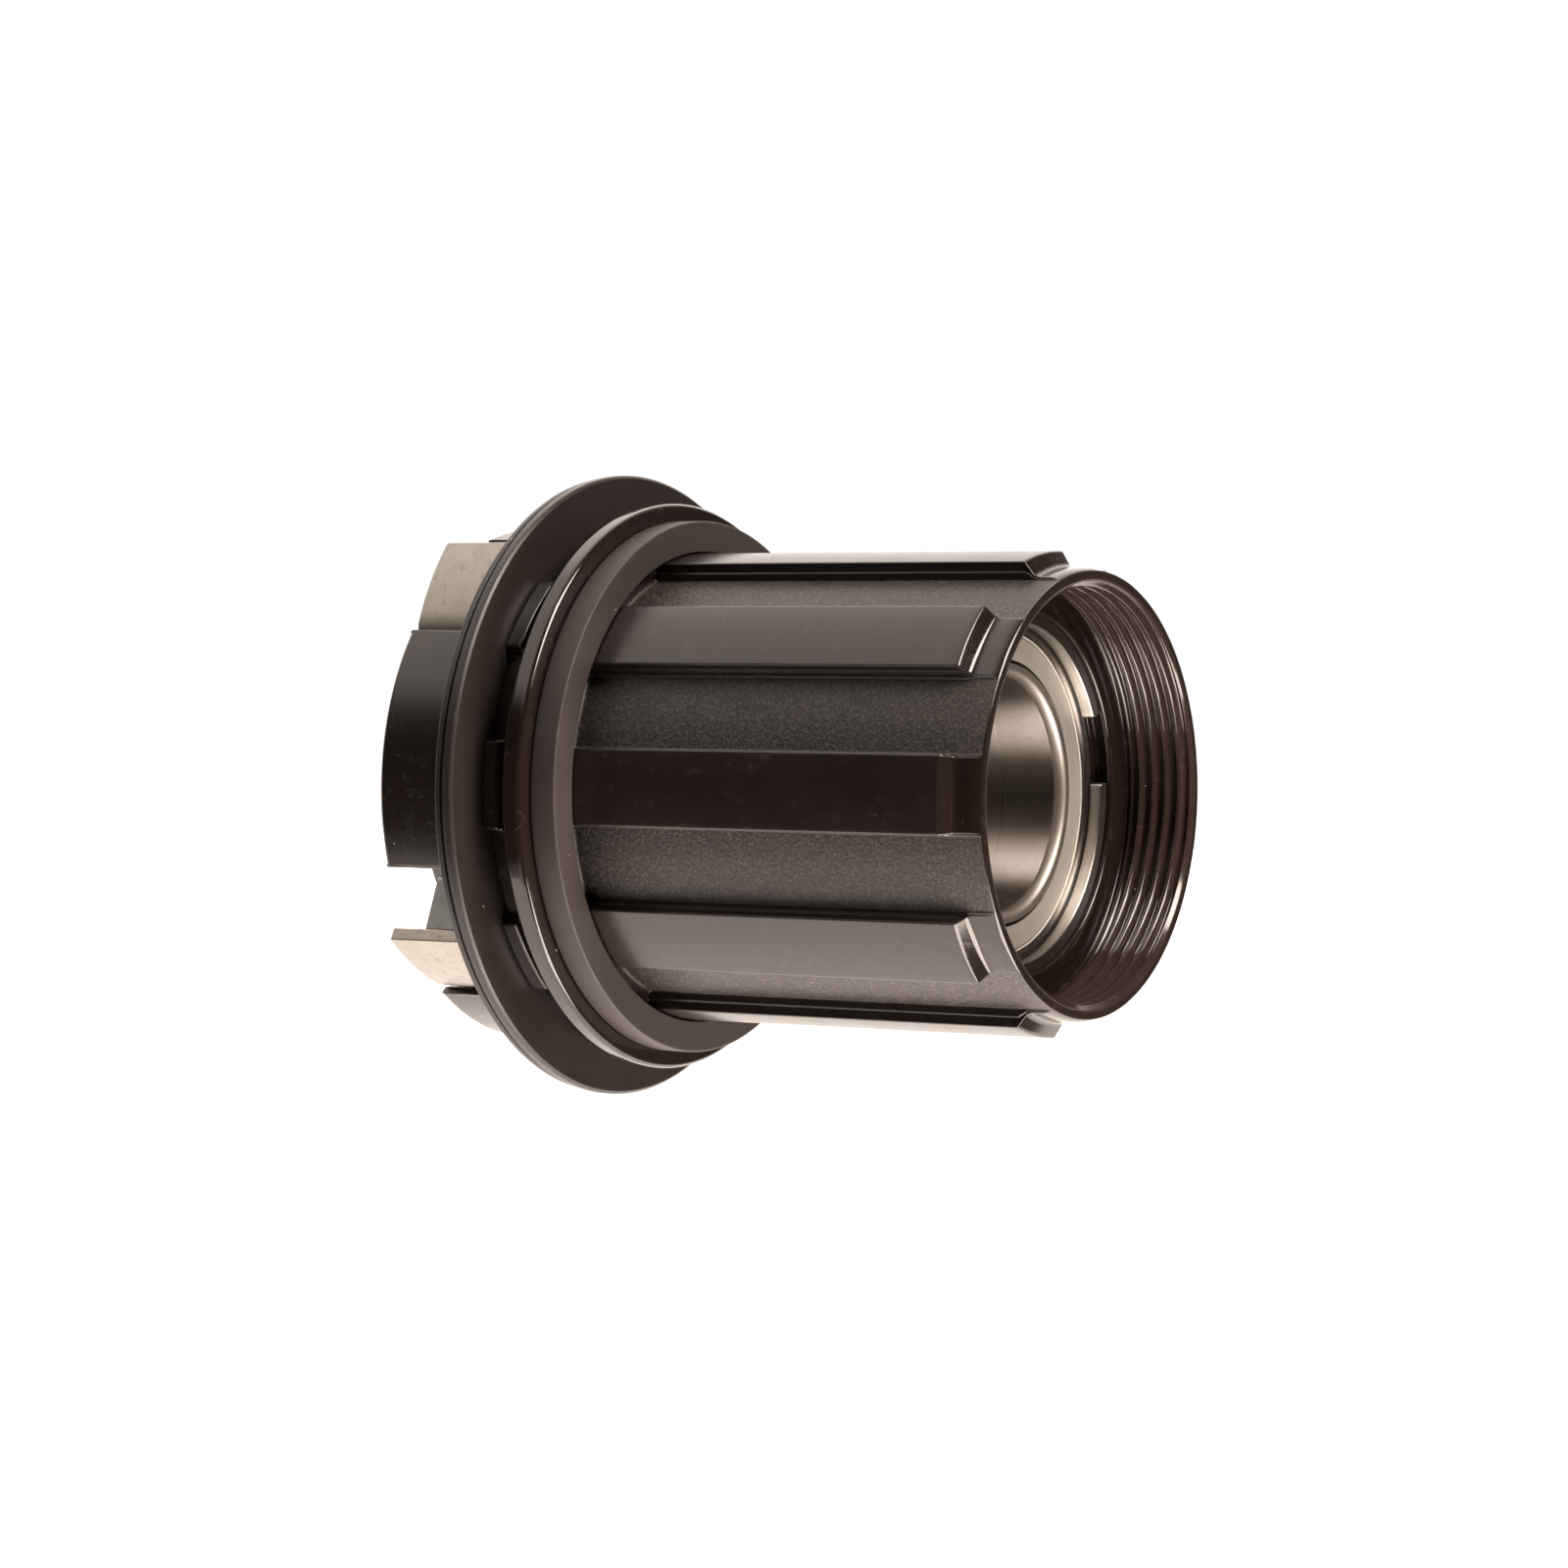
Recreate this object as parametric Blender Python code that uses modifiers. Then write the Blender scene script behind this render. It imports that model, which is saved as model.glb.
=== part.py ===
"""Bicycle cassette freehub body, pawl type, with its two cartridge bearings.

Row frame: +Y runs along the axle towards the hub shell (inboard), the lockring
mouth faces -Y, +Z is up, and the body drives by turning about +Y.
The origin is on the axle line, half way along the freehub body.
Everything hangs on one frame empty whose own +Z points out of the mouth, so a
station is measured in millimetres inboard from the mouth face.
"""

import math

import bmesh
import bpy
from mathutils import Matrix, Vector

MM = 0.001

# Overall length and the stations along it, in millimetres from the mouth face.
BODY_LENGTH = 48.6
NECK_END = 1.95
LAND_START = 2.75
VALLEY_END = 33.9
SHOULDER = 34.95
SHOULDER_BACK = 36.45
COLLAR_START = 37.9
COLLAR_END = 39.2
CARRIER_START = 41.05

# Outside radii.
MOUTH_RADIUS = 15.85
NECK_RADIUS = 16.15
LAND_RADIUS = 17.3
VALLEY_RADIUS = 15.95
SHOULDER_RADIUS = 21.0
GROOVE_RADIUS = 18.4
COLLAR_RADIUS = 19.6
COLLAR_SLOT_RADIUS = 18.6
SEAL_SEAT_RADIUS = 17.5
CARRIER_RADIUS = 19.2

# Splines: nine lands. The key valley, counted from the -X side, is narrower.
LAND_COUNT = 9
LAND_PITCH = 40.0
LAND_WIDTH = 19.0
KEY_VALLEY = 4
KEY_EXTRA = 4.0

# Lockring thread, 24 turns to the inch.
THREAD_PITCH = 25.4 / 24.0
THREAD_MINOR = 14.75
THREAD_MAJOR = 15.25
THREAD_TURNS = 4
THREAD_END = 5.35
BORE_STEP = 5.6

# Bearing seats.
SEAT_RADIUS = 13.0
BARREL_BORE = 11.6
OUTBOARD_BEARING = 7.2
INBOARD_BEARING = 43.3
BEARING_WIDTH = 5.0
SEAT_SHOULDER = 0.1

# Circlip.
CLIP_START = 6.1
CLIP_THICKNESS = 1.0
CLIP_INNER = 12.2
CLIP_OUTER = 13.5
CLIP_GROOVE = 13.7
CLIP_GAP_CENTRE = 165.0
CLIP_GAP = 23.0

# Cartridge bearing, 17 x 26 x 5.
INNER_BORE = 8.5
INNER_LAND = 9.75
INNER_NOTCH_RADIUS = 9.35
INNER_NOTCH = 0.6
INNER_CHAMFER = (0.25, 0.6)
OUTER_LAND = 11.75
OUTER_RADIUS = 12.9
PITCH_RADIUS = 10.75
BALL_RADIUS = 1.389
BALL_COUNT = 14
INNER_GROOVE = 9.28
OUTER_GROOVE = 12.25
SHIELD_INNER = 9.55
SHIELD_OUTER = 11.62
SHIELD_THICKNESS = 0.3
SHIELD_RECESS = 0.15
CAGE_INNER = 10.35
CAGE_OUTER = 11.15
CAGE_HALF_WIDTH = 1.88
CAGE_HOLE = 1.58

# Tube between the inner rings.
TUBE_INNER = 8.6
TUBE_OUTER = 9.7
TUBE_GAP = 0.1

# Spacer ring on the shoulder.
SPACER_INNER = 17.42
SPACER_OUTER = 19.7
SPACER_THICKNESS = 2.05
SPACER_GAP = 0.1

# Seal disc.
SEAL_INNER = 17.65
SEAL_OUTER = 23.15
SEAL_FRONT = 39.3
SEAL_BACK = 40.85

# Pawls. Angles are counted from the -X side, rising.
PAWL_COUNT = 4
PIVOT_ANGLE = 39.5
PIVOT_RADIUS = 17.0
SOCKET_RADIUS = 2.0
HEEL_RADIUS = 1.85
LIP_OFFSET = -1.24
SOCKET_END = (1.2, -1.6)
POCKET_FLOOR_RADIUS = 14.2
POCKET_WALL_ANGLE = 31.8
POCKET_START = 41.45
PAWL_START = 41.75
PAWL_END = 48.5
PAWL_REACH = 7.17
PAWL_FLUSH_RADIUS = 19.0
PAWL_TRAVEL = 21.0
SPRING_THICKNESS = 0.25
SPRING_WIDTH = 4.6
SPRING_FOLD = 0.5
SPRING_FOOT = 3.4
SPRING_CENTRE = (5.32, -3.03)
SPRING_BEND = (-103.9, 18.4)
SPRING_TOP = (4.6, 0.72)

# Facets around a full turn.
BODY_STEPS = 60
RING_STEPS = 30


def height(station):
    """Local z of a station measured inboard from the mouth face."""
    return (BODY_LENGTH / 2.0 - station) * MM


def polar(radius, degrees):
    """Local x and y, in millimetres, at an angle counted from the -X side."""
    angle = math.radians(degrees)
    return (-radius * math.cos(angle), radius * math.sin(angle))


def make_material(name, colour, roughness, metallic):
    material = bpy.data.materials.new(name)
    material.use_nodes = True
    shader = material.node_tree.nodes["Principled BSDF"]
    shader.inputs["Base Color"].default_value = (*colour, 1.0)
    shader.inputs["Roughness"].default_value = roughness
    shader.inputs["Metallic"].default_value = metallic
    material.diffuse_color = (*colour, 1.0)
    return material


def shade_round(mesh):
    mesh.shade_smooth()
    mesh.set_sharp_from_angle(angle=math.radians(30.0))


def attach(obj, collection, frame, material):
    collection.objects.link(obj)
    obj.parent = frame
    if material is not None:
        obj.data.materials.clear()
        obj.data.materials.append(material)


def turned(name, profile, steps, collection, frame, material):
    """A closed profile of (radius, station) points turned about the axle line.

    The points run outwards over the mouth side, inboard along the outside and
    back along the bore.
    """
    mesh = bpy.data.meshes.new(name)
    verts = [(radius * MM, 0.0, height(station)) for radius, station in profile]
    count = len(verts)
    edges = [(index, (index + 1) % count) for index in range(count)]
    mesh.from_pydata(verts, edges, [])
    obj = bpy.data.objects.new(name, mesh)
    attach(obj, collection, frame, material)
    screw = obj.modifiers.new("turn", "SCREW")
    screw.axis = "Z"
    screw.angle = math.radians(360.0)
    screw.steps = steps
    screw.render_steps = steps
    screw.use_smooth_shade = False
    screw.use_merge_vertices = True
    screw.merge_threshold = 0.000001
    return obj


def outline(name, loops, thickness, collection, frame, material):
    """Closed outlines in millimetres, filled and thickened evenly along local z."""
    curve = bpy.data.curves.new(name, "CURVE")
    curve.dimensions = "2D"
    curve.fill_mode = "BOTH"
    curve.extrude = thickness * MM / 2.0
    for loop in loops:
        spline = curve.splines.new("POLY")
        spline.points.add(len(loop) - 1)
        for point, (x, y) in zip(spline.points, loop):
            point.co = (x * MM, y * MM, 0.0, 1.0)
        spline.use_cyclic_u = True
    guide = bpy.data.objects.new(name + "_outline", curve)
    collection.objects.link(guide)
    depsgraph = bpy.context.evaluated_depsgraph_get()
    mesh = bpy.data.meshes.new_from_object(guide.evaluated_get(depsgraph))
    bpy.data.objects.remove(guide)
    bpy.data.curves.remove(curve)
    builder = bmesh.new()
    builder.from_mesh(mesh)
    bmesh.ops.remove_doubles(builder, verts=builder.verts, dist=0.000001)
    bmesh.ops.recalc_face_normals(builder, faces=builder.faces)
    builder.to_mesh(mesh)
    builder.free()
    mesh.name = name
    obj = bpy.data.objects.new(name, mesh)
    attach(obj, collection, frame, material)
    return obj


def cut(obj, cutter, label):
    """Take a cutter away from an object and keep the cutter as a wire guide."""
    cutter.hide_render = True
    cutter.display_type = "WIRE"
    modifier = obj.modifiers.new(label, "BOOLEAN")
    modifier.operation = "DIFFERENCE"
    modifier.solver = "EXACT"
    modifier.object = cutter


def sector(start, end, inner, outer, step):
    """Outline of a ring sector between two angles."""
    count = max(1, round((end - start) / step))
    angles = [start + (end - start) * index / count for index in range(count + 1)]
    near = [polar(inner, angle) for angle in angles]
    far = [polar(outer, angle) for angle in reversed(angles)]
    return near + far


def arc(centre, radius, start, end, count):
    """Points on a circle from one angle to another, in degrees."""
    points = []
    for index in range(count + 1):
        angle = math.radians(start + (end - start) * index / count)
        x = centre[0] + radius * math.cos(angle)
        y = centre[1] + radius * math.sin(angle)
        points.append((x, y))
    return points


def turn_points(points, degrees):
    """Turn points about the local origin."""
    angle = math.radians(degrees)
    cosine = math.cos(angle)
    sine = math.sin(angle)
    return [(x * cosine - y * sine, x * sine + y * cosine) for x, y in points]


def pocket_to_local(points, pivot_angle):
    """Points measured from a pawl pivot (tangent, radial) to the frame's x, y."""
    moved = [(x, y + PIVOT_RADIUS) for x, y in points]
    return turn_points(moved, 90.0 - pivot_angle)


def thread_profile():
    """Ridges of the lockring thread, from the inboard end out to the mouth."""
    points = [(THREAD_MAJOR, BORE_STEP), (THREAD_MAJOR, THREAD_END)]
    for turn in range(THREAD_TURNS):
        base = THREAD_END - turn * THREAD_PITCH
        points.append((THREAD_MINOR, base - 0.35 * THREAD_PITCH))
        points.append((THREAD_MINOR, base - 0.6 * THREAD_PITCH))
        points.append((THREAD_MAJOR, base - THREAD_PITCH))
    points.append((THREAD_MINOR, 0.7))
    points.append((THREAD_MINOR, 0.45))
    points.append((THREAD_MAJOR, 0.0))
    return points


def body_profile():
    outside = [
        (MOUTH_RADIUS, 0.0),
        (NECK_RADIUS, 0.3),
        (NECK_RADIUS, NECK_END),
        (NECK_RADIUS + 0.2, NECK_END + 0.25),
        (LAND_RADIUS, LAND_START),
        (LAND_RADIUS, SHOULDER),
        (SHOULDER_RADIUS - 0.2, SHOULDER),
        (SHOULDER_RADIUS, SHOULDER + 0.2),
        (SHOULDER_RADIUS, SHOULDER_BACK - 0.2),
        (SHOULDER_RADIUS - 0.2, SHOULDER_BACK),
        (GROOVE_RADIUS, SHOULDER_BACK),
        (GROOVE_RADIUS, COLLAR_START),
        (COLLAR_RADIUS - 0.2, COLLAR_START),
        (COLLAR_RADIUS, COLLAR_START + 0.2),
        (COLLAR_RADIUS, COLLAR_END),
        (SEAL_SEAT_RADIUS, COLLAR_END),
        (SEAL_SEAT_RADIUS, CARRIER_START),
        (CARRIER_RADIUS, CARRIER_START),
        (CARRIER_RADIUS, BODY_LENGTH - 0.3),
        (CARRIER_RADIUS - 0.3, BODY_LENGTH),
    ]
    bore = [
        (SEAT_RADIUS + 0.3, BODY_LENGTH),
        (SEAT_RADIUS, BODY_LENGTH - 0.3),
        (SEAT_RADIUS, INBOARD_BEARING - SEAT_SHOULDER),
        (BARREL_BORE, INBOARD_BEARING - SEAT_SHOULDER),
        (BARREL_BORE, OUTBOARD_BEARING + BEARING_WIDTH + SEAT_SHOULDER),
        (SEAT_RADIUS, OUTBOARD_BEARING + BEARING_WIDTH + SEAT_SHOULDER),
        (SEAT_RADIUS, CLIP_START + CLIP_THICKNESS + 0.05),
        (CLIP_GROOVE, CLIP_START + CLIP_THICKNESS + 0.05),
        (CLIP_GROOVE, CLIP_START - 0.05),
        (SEAT_RADIUS, CLIP_START - 0.05),
        (SEAT_RADIUS, BORE_STEP),
    ]
    return outside + bore + thread_profile()


def valley_cutter(collection, frame):
    """Nine spline valleys, one of them narrower so that a cassette fits one way."""
    loops = []
    for index in range(LAND_COUNT):
        start = index * LAND_PITCH + LAND_WIDTH / 2.0
        end = start + LAND_PITCH - LAND_WIDTH
        if index == KEY_VALLEY:
            start += KEY_EXTRA
        loops.append(sector(start, end, VALLEY_RADIUS, LAND_RADIUS + 1.0, 5.0))
    cutter = outline("valley_cutter", loops, VALLEY_END + 1.0, collection, frame, None)
    cutter.location.z = height((VALLEY_END - 1.0) / 2.0)
    return cutter


def collar_cutter(collection, frame):
    """Nine slots in the collar, in line with the spline valleys."""
    loops = []
    for index in range(LAND_COUNT):
        start = index * LAND_PITCH + LAND_WIDTH / 2.0
        end = start + LAND_PITCH - LAND_WIDTH
        loops.append(sector(start, end, COLLAR_SLOT_RADIUS, COLLAR_RADIUS + 1.0, 5.0))
    depth = COLLAR_END - COLLAR_START + 0.8
    cutter = outline("collar_cutter", loops, depth, collection, frame, None)
    cutter.location.z = height((COLLAR_END + COLLAR_START) / 2.0)
    return cutter


def pocket_outline():
    """One pawl pocket, seen along the axle, measured from its pivot."""
    lip_angle = math.degrees(math.acos(LIP_OFFSET / SOCKET_RADIUS))
    points = [(LIP_OFFSET, CARRIER_RADIUS + 1.2 - PIVOT_RADIUS)]
    sink_angle = 360.0 + math.degrees(math.atan2(SOCKET_END[1], SOCKET_END[0]))
    points += arc((0.0, 0.0), SOCKET_RADIUS, lip_angle, sink_angle, 12)
    floor_start = math.asin(SOCKET_END[0] / POCKET_FLOOR_RADIUS)
    floor_angles = (90.0 - math.degrees(floor_start), 90.0 - POCKET_WALL_ANGLE)
    points += arc((0.0, -PIVOT_RADIUS), POCKET_FLOOR_RADIUS, *floor_angles, 5)
    wall_radius = CARRIER_RADIUS + 1.5
    wall_x = wall_radius * math.sin(math.radians(POCKET_WALL_ANGLE))
    wall_y = wall_radius * math.cos(math.radians(POCKET_WALL_ANGLE)) - PIVOT_RADIUS
    points.append((wall_x, wall_y))
    points.append((wall_x * 0.45, CARRIER_RADIUS + 1.8 - PIVOT_RADIUS))
    return points


def pocket_cutter(collection, frame):
    """Four pawl pockets, open at the inboard end."""
    loops = []
    for index in range(PAWL_COUNT):
        angle = PIVOT_ANGLE + index * 360.0 / PAWL_COUNT
        loops.append(pocket_to_local(pocket_outline(), angle))
    depth = BODY_LENGTH - POCKET_START + 1.0
    cutter = outline("pocket_cutter", loops, depth, collection, frame, None)
    cutter.location.z = height(POCKET_START + depth / 2.0)
    return cutter


def make_body(parts, cutters, frame, material):
    body = turned("freehub_body", body_profile(), BODY_STEPS, parts, frame, material)
    cut(body, valley_cutter(cutters, frame), "spline valleys")
    cut(body, collar_cutter(cutters, frame), "collar slots")
    cut(body, pocket_cutter(cutters, frame), "pawl pockets")
    return body


def make_spacer_ring(parts, frame, material):
    back = SHOULDER - SPACER_GAP
    front = back - SPACER_THICKNESS
    profile = [
        (SPACER_INNER, front),
        (SPACER_OUTER - 0.15, front),
        (SPACER_OUTER, front + 0.15),
        (SPACER_OUTER, back),
        (SPACER_INNER, back),
    ]
    return turned("cassette_spacer_ring", profile, BODY_STEPS, parts, frame, material)


def make_seal_disc(parts, frame, material):
    """Thin disc with a fine groove around its rim and a slightly smaller back lip."""
    profile = [
        (SEAL_INNER, SEAL_FRONT),
        (SEAL_OUTER - 0.2, SEAL_FRONT),
        (SEAL_OUTER, SEAL_FRONT + 0.2),
        (SEAL_OUTER, SEAL_FRONT + 0.75),
        (SEAL_OUTER - 0.35, SEAL_FRONT + 0.85),
        (SEAL_OUTER - 0.35, SEAL_FRONT + 1.05),
        (SEAL_OUTER - 0.15, SEAL_FRONT + 1.15),
        (SEAL_OUTER - 0.15, SEAL_BACK),
        (SEAL_INNER, SEAL_BACK),
    ]
    return turned("seal_disc", profile, BODY_STEPS, parts, frame, material)


def make_circlip(parts, frame, material):
    """Internal retaining ring with a gap and rounded-off ends."""
    start = CLIP_GAP_CENTRE + CLIP_GAP / 2.0
    end = CLIP_GAP_CENTRE - CLIP_GAP / 2.0 + 360.0
    loop = sector(start, end, CLIP_INNER, CLIP_OUTER, 9.0)
    clip = outline("retaining_circlip", [loop], CLIP_THICKNESS, parts, frame, material)
    clip.location.z = height(CLIP_START + CLIP_THICKNESS / 2.0)
    return clip


def make_spacer_tube(parts, frame, material):
    front = OUTBOARD_BEARING + BEARING_WIDTH + TUBE_GAP
    back = INBOARD_BEARING - TUBE_GAP
    profile = [
        (TUBE_INNER, front),
        (TUBE_OUTER, front),
        (TUBE_OUTER, back),
        (TUBE_INNER, back),
    ]
    return turned("bearing_spacer_tube", profile, RING_STEPS, parts, frame, material)


def race_points(radius_groove, radius_land, middle, inwards):
    """Ball groove across a race, from the outboard side to the inboard side."""
    half = 1.05
    sides = [-half, -half * 0.6, half * 0.6, half]
    radii = [radius_land, radius_groove, radius_groove, radius_land]
    points = [(radius, middle + side) for radius, side in zip(radii, sides)]
    if inwards:
        points.reverse()
    return points


def make_inner_ring(name, front, parts, frame, material):
    back = front + BEARING_WIDTH
    middle = front + BEARING_WIDTH / 2.0
    wide, deep = INNER_CHAMFER
    profile = [
        (INNER_BORE + wide, front),
        (INNER_NOTCH_RADIUS, front),
        (INNER_NOTCH_RADIUS, front + INNER_NOTCH),
        (INNER_LAND, front + INNER_NOTCH),
    ]
    profile += race_points(INNER_GROOVE, INNER_LAND, middle, False)
    profile += [
        (INNER_LAND, back - INNER_NOTCH),
        (INNER_NOTCH_RADIUS, back - INNER_NOTCH),
        (INNER_NOTCH_RADIUS, back),
        (INNER_BORE + wide, back),
        (INNER_BORE, back - deep),
        (INNER_BORE, front + deep),
    ]
    return turned(name, profile, RING_STEPS, parts, frame, material)


def make_outer_ring(name, front, parts, frame, material):
    back = front + BEARING_WIDTH
    middle = front + BEARING_WIDTH / 2.0
    profile = [
        (OUTER_LAND, front),
        (OUTER_RADIUS - 0.25, front),
        (OUTER_RADIUS, front + 0.25),
        (OUTER_RADIUS, back - 0.25),
        (OUTER_RADIUS - 0.25, back),
        (OUTER_LAND, back),
    ]
    profile += race_points(OUTER_GROOVE, OUTER_LAND, middle, True)
    return turned(name, profile, RING_STEPS, parts, frame, material)


def make_shield(name, front, parts, frame, material):
    back = front + SHIELD_THICKNESS
    profile = [
        (SHIELD_INNER, front),
        (SHIELD_OUTER, front),
        (SHIELD_OUTER, back),
        (SHIELD_INNER, back),
    ]
    return turned(name, profile, RING_STEPS, parts, frame, material)


def cage_cutter(name, middle, collection, frame):
    """Radial pins, one for each ball, joined in one cutter."""
    builder = bmesh.new()
    for index in range(BALL_COUNT):
        x, y = polar(PITCH_RADIUS, index * 360.0 / BALL_COUNT)
        direction = Vector((x, y, 0.0))
        turn = direction.to_track_quat("Z", "Y").to_matrix().to_4x4()
        place = Matrix.Translation(direction * MM) @ turn
        bmesh.ops.create_cone(
            builder,
            cap_ends=True,
            segments=8,
            radius1=CAGE_HOLE * MM,
            radius2=CAGE_HOLE * MM,
            depth=1.6 * MM,
            matrix=place,
        )
    mesh = bpy.data.meshes.new(name)
    builder.to_mesh(mesh)
    builder.free()
    cutter = bpy.data.objects.new(name, mesh)
    attach(cutter, collection, frame, None)
    cutter.location.z = height(middle)
    return cutter


def make_cage(name, middle, parts, cutters, frame, material):
    profile = [
        (CAGE_INNER, middle - CAGE_HALF_WIDTH),
        (CAGE_OUTER, middle - CAGE_HALF_WIDTH),
        (CAGE_OUTER, middle + CAGE_HALF_WIDTH),
        (CAGE_INNER, middle + CAGE_HALF_WIDTH),
    ]
    cage = turned(name, profile, BALL_COUNT * 2, parts, frame, material)
    cut(cage, cage_cutter(name + "_cutter", middle, cutters, frame), "ball pockets")
    return cage


def ball_mesh():
    builder = bmesh.new()
    bmesh.ops.create_uvsphere(builder, u_segments=8, v_segments=6, radius=BALL_RADIUS * MM)
    mesh = bpy.data.meshes.new("ball")
    builder.to_mesh(mesh)
    builder.free()
    return mesh


def make_balls(side, middle, mesh, parts, frame):
    for index in range(BALL_COUNT):
        name = f"{side}_ball_{index + 1:02d}"
        ball = bpy.data.objects.new(name, mesh)
        parts.objects.link(ball)
        ball.parent = frame
        x, y = polar(PITCH_RADIUS, index * 360.0 / BALL_COUNT)
        ball.location = (x * MM, y * MM, height(middle))


def make_bearing(side, front, parts, cutters, frame, materials, balls):
    middle = front + BEARING_WIDTH / 2.0
    back = front + BEARING_WIDTH
    steel = materials["bearing steel"]
    make_outer_ring(f"{side}_outer_ring", front, parts, frame, steel)
    make_inner_ring(f"{side}_inner_ring", front, parts, frame, steel)
    shield = materials["shield steel"]
    make_shield(f"{side}_mouth_shield", front + SHIELD_RECESS, parts, frame, shield)
    rear = back - SHIELD_RECESS - SHIELD_THICKNESS
    make_shield(f"{side}_hub_shield", rear, parts, frame, shield)
    make_cage(f"{side}_cage", middle, parts, cutters, frame, materials["cage steel"])
    make_balls(side, middle, balls, parts, frame)


def pawl_points():
    """Side view of a pawl about its pivot, sprung out to its resting position."""
    reach = PAWL_REACH
    lift = PAWL_FLUSH_RADIUS ** 2 - PIVOT_RADIUS ** 2 - reach ** 2
    flush_angle = math.asin(lift / (2.0 * PIVOT_RADIUS * reach))
    tip_x = reach * math.cos(flush_angle)
    points = []
    for index in range(6):
        x = 0.3 + (tip_x - 0.3) * index / 5.0
        y = math.sqrt(PAWL_FLUSH_RADIUS ** 2 - x ** 2) - PIVOT_RADIUS
        points.append((x, y))
    points.append((tip_x - 0.12, points[-1][1] - 0.95))
    points.append((4.0, -0.95))
    points += arc((0.0, 0.0), HEEL_RADIUS, -40.0, -262.0, 12)
    return turn_points(points, PAWL_TRAVEL)


def spring_points():
    """Folded leaf: one leg along the pocket floor, the other up to the pawl."""
    half = SPRING_THICKNESS / 2.0
    fold = SPRING_FOLD
    start, end = SPRING_BEND
    normal = (math.cos(math.radians(end)), math.sin(math.radians(end)))
    below = (math.cos(math.radians(start)), math.sin(math.radians(start)))
    foot = (
        SPRING_CENTRE[0] + below[0] * fold + below[1] * SPRING_FOOT,
        SPRING_CENTRE[1] + below[1] * fold - below[0] * SPRING_FOOT,
    )
    top = SPRING_TOP
    points = [(foot[0] + below[0] * half, foot[1] + below[1] * half)]
    points += arc(SPRING_CENTRE, fold + half, start, end, 8)
    points.append((top[0] + normal[0] * half, top[1] + normal[1] * half))
    points.append((top[0] - normal[0] * half, top[1] - normal[1] * half))
    points += arc(SPRING_CENTRE, fold - half, end, start, 8)
    points.append((foot[0] - below[0] * half, foot[1] - below[1] * half))
    return points


def make_pawls(parts, frame, pawl_material, spring_material):
    """Each pawl has its origin on its pivot; each leaf sits under its pawl."""
    pawl_middle = height((PAWL_START + PAWL_END) / 2.0)
    for index in range(PAWL_COUNT):
        angle = PIVOT_ANGLE + index * 360.0 / PAWL_COUNT
        x, y = polar(PIVOT_RADIUS, angle)
        width = PAWL_END - PAWL_START
        name = f"pawl_{index + 1}"
        pawl = outline(name, [pawl_points()], width, parts, frame, pawl_material)
        pawl.location = (x * MM, y * MM, pawl_middle)
        pawl.rotation_euler = (0.0, 0.0, math.radians(90.0 - angle))
        shade_round(pawl.data)
        name = f"pawl_spring_{index + 1}"
        spring = outline(name, [spring_points()], SPRING_WIDTH, parts, frame, spring_material)
        spring.location = pawl.location
        spring.rotation_euler = pawl.rotation_euler
        shade_round(spring.data)


def make_materials():
    return {
        "body": make_material("black anodised alloy", (0.028, 0.022, 0.02), 0.38, 0.75),
        "spacer": make_material("matt dark spacer", (0.06, 0.052, 0.048), 0.6, 0.2),
        "seal": make_material("seal polymer", (0.045, 0.038, 0.035), 0.55, 0.0),
        "pawl": make_material("pawl steel", (0.5, 0.46, 0.42), 0.42, 1.0),
        "spring": make_material("spring steel", (0.32, 0.31, 0.3), 0.35, 1.0),
        "clip": make_material("circlip steel", (0.62, 0.58, 0.54), 0.3, 1.0),
        "tube": make_material("tube steel", (0.36, 0.33, 0.31), 0.28, 1.0),
        "bearing steel": make_material("bearing steel", (0.55, 0.52, 0.5), 0.22, 1.0),
        "shield steel": make_material("shield steel", (0.72, 0.67, 0.6), 0.4, 0.9),
        "cage steel": make_material("cage steel", (0.5, 0.47, 0.43), 0.4, 1.0),
        "ball steel": make_material("ball steel", (0.75, 0.74, 0.73), 0.08, 1.0),
    }


def main():
    for obj in list(bpy.data.objects):
        bpy.data.objects.remove(obj)
    parts = bpy.data.collections.new("freehub")
    cutters = bpy.data.collections.new("freehub_cutters")
    bpy.context.scene.collection.children.link(parts)
    bpy.context.scene.collection.children.link(cutters)

    frame = bpy.data.objects.new("axle_frame", None)
    frame.rotation_euler = (math.radians(90.0), 0.0, 0.0)
    parts.objects.link(frame)

    materials = make_materials()
    make_body(parts, cutters, frame, materials["body"])
    make_spacer_ring(parts, frame, materials["spacer"])
    make_seal_disc(parts, frame, materials["seal"])
    make_circlip(parts, frame, materials["clip"])
    make_spacer_tube(parts, frame, materials["tube"])
    make_pawls(parts, frame, materials["pawl"], materials["spring"])

    balls = ball_mesh()
    balls.materials.append(materials["ball steel"])
    make_bearing("outboard", OUTBOARD_BEARING, parts, cutters, frame, materials, balls)
    make_bearing("inboard", INBOARD_BEARING, parts, cutters, frame, materials, balls)
    bpy.context.view_layer.update()


main()
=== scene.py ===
"""Looks of a cassette freehub body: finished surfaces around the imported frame.

Row frame: +Y along the axle towards the hub shell, the lockring mouth faces -Y, +Z up.
A station is counted in millimetres inboard from the mouth face. An angle is counted
from the -X side, rising. Sizes are in millimetres until the last step.
"""

import math

import bmesh
import bpy
import numpy as np
from mathutils import Matrix, Vector


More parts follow.
